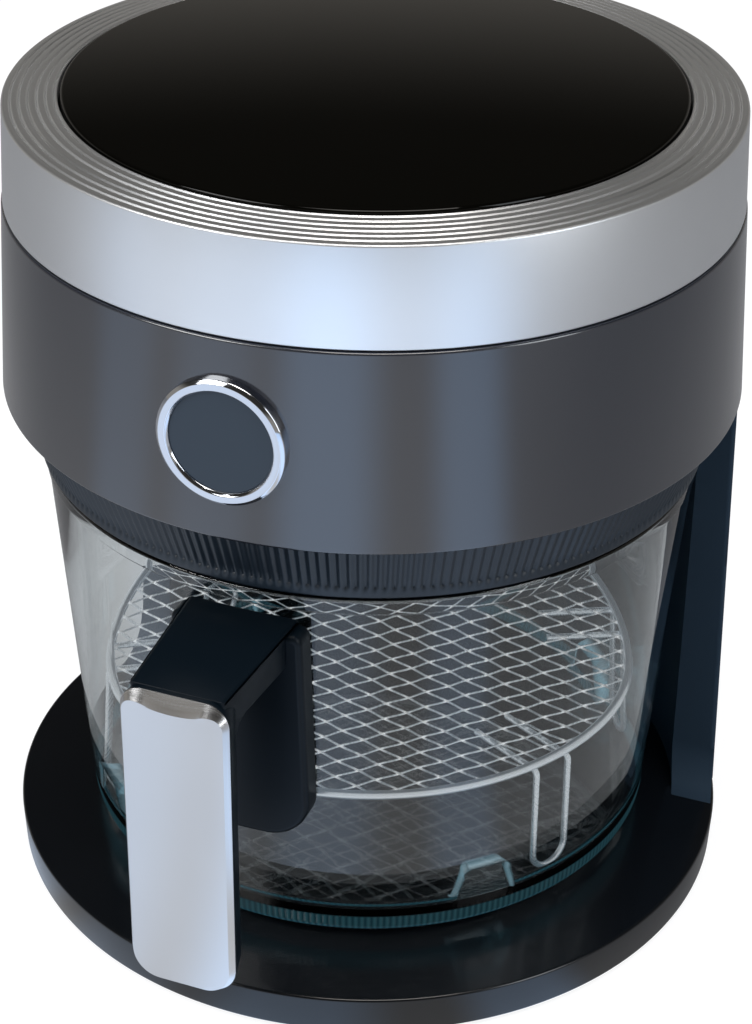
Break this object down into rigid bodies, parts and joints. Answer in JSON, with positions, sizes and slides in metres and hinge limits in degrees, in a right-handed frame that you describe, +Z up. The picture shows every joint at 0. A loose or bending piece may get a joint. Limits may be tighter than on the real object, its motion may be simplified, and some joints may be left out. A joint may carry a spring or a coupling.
{
  "type": "glass air fryer",
  "caption": "Glass-bowl air fryer: a glass bowl with a front handle slides out from under a round heater head that a rear column carries above a round base; a wire rack stands inside.",
  "frame": {"origin": "on the plane that the rubber feet stand on, on the axis of the bowl and the head", "axes": "+Z up, -Y to the front, where the handle is; +X is to the right seen from the front"},
  "size_m": [0.2906, 0.3325, 0.324],
  "materials": {
    "base_plastic": "high gloss black",
    "under_plastic": "moulded matte black",
    "foot_rubber": "soft matte",
    "screw_steel": "bright steel",
    "column_plastic": "satin navy black",
    "gland_rubber": "matte",
    "nylon_white": "natural nylon",
    "cable_sleeve": "braided sleeve",
    "bowl_glass": "clear, blue-green at the edges",
    "rack_steel": "bright stainless wire",
    "handle_plastic": "satin black",
    "handle_silver": "satin silver with a polished bevel",
    "gasket_silicone": "matte silicone",
    "ring_plastic": "satin blue-black",
    "housing_plastic": "gloss slate",
    "ring_silver": "satin silver, turned grooves",
    "disc_glass": "gloss black glass",
    "badge_chrome": "polished",
    "badge_face": "bare satin slate",
    "board_green": "circuit board",
    "sheet_steel": "pressed sheet",
    "element_steel": "oxidised tube",
    "motor_steel": "plated",
    "fan_aluminium": "pressed sheet"
  },
  "bodies": {
    "stand": {"base_shell": "base_plastic", "base_bottom_plate": "under_plastic", "rubber_feet": "foot_rubber", "base_screws": "screw_steel", "column_shell": "column_plastic", "column_back_cover": "column_plastic", "cover_screws": "screw_steel", "column_screws": "screw_steel", "cord_gland": "gland_rubber", "terminal_block": "nylon_white", "wiring_harness": "cable_sleeve", "switch_housing": "nylon_white", "lower_ring": "ring_plastic", "seal_ring": "gasket_silicone", "head_floor": "under_plastic", "head_housing": "housing_plastic", "housing_screws": "screw_steel", "seam_gasket": "gasket_silicone", "top_ring": "ring_silver", "touch_disc": "disc_glass", "disc_carrier": "under_plastic", "control_board": "board_green", "badge_ring": "badge_chrome", "badge_disc": "badge_face", "chamber_liner": "sheet_steel", "heater_dish": "sheet_steel", "heat_shield": "sheet_steel", "heating_element": "element_steel", "heater_clips": "screw_steel", "heater_guard": "sheet_steel", "temperature_probe": "screw_steel", "motor_bracket": "sheet_steel", "bracket_screws": "screw_steel", "fan_motor": "motor_steel", "power_board": "board_green", "board_posts": "nylon_white"},
    "bowl": {"glass_bowl": "bowl_glass", "handle_pad": "handle_plastic", "handle_gasket": "gasket_silicone", "handle_body": "handle_plastic", "handle_cover": "handle_silver", "handle_inner_plate": "sheet_steel", "handle_screws": "screw_steel", "arm_screws": "screw_steel"},
    "rack": {"rack_rim": "rack_steel", "rack_mesh": "rack_steel", "rack_legs": "rack_steel"},
    "rotor": {"motor_shaft": "screw_steel", "convection_fan": "fan_aluminium", "cooling_fan": "under_plastic", "fan_nut": "screw_steel"},
    "switch_plunger": {"switch_plunger": "nylon_white"}
  },
  "joints": [
    {"name": "bowl_slide", "type": "slide", "parent": "stand", "child": "bowl", "axis": [0, -1, 0], "range_m": [0, 0.3]},
    {"name": "rack_lift", "type": "slide", "parent": "bowl", "child": "rack", "axis": [0, 0, 1], "range_m": [0, 0.09]},
    {"name": "fan_spin", "type": "hinge", "parent": "stand", "child": "rotor", "pos_m": [0, 0, 0.27], "axis": [0, 0, 1], "continuous": true},
    {"name": "switch_press", "type": "slide", "parent": "stand", "child": "switch_plunger", "axis": [0, -1, 0], "range_m": [0, 0.003]}
  ],
  "couplings": [
    {"joint": "switch_press", "follows": "bowl_slide", "ratio": 0.01}
  ]
}
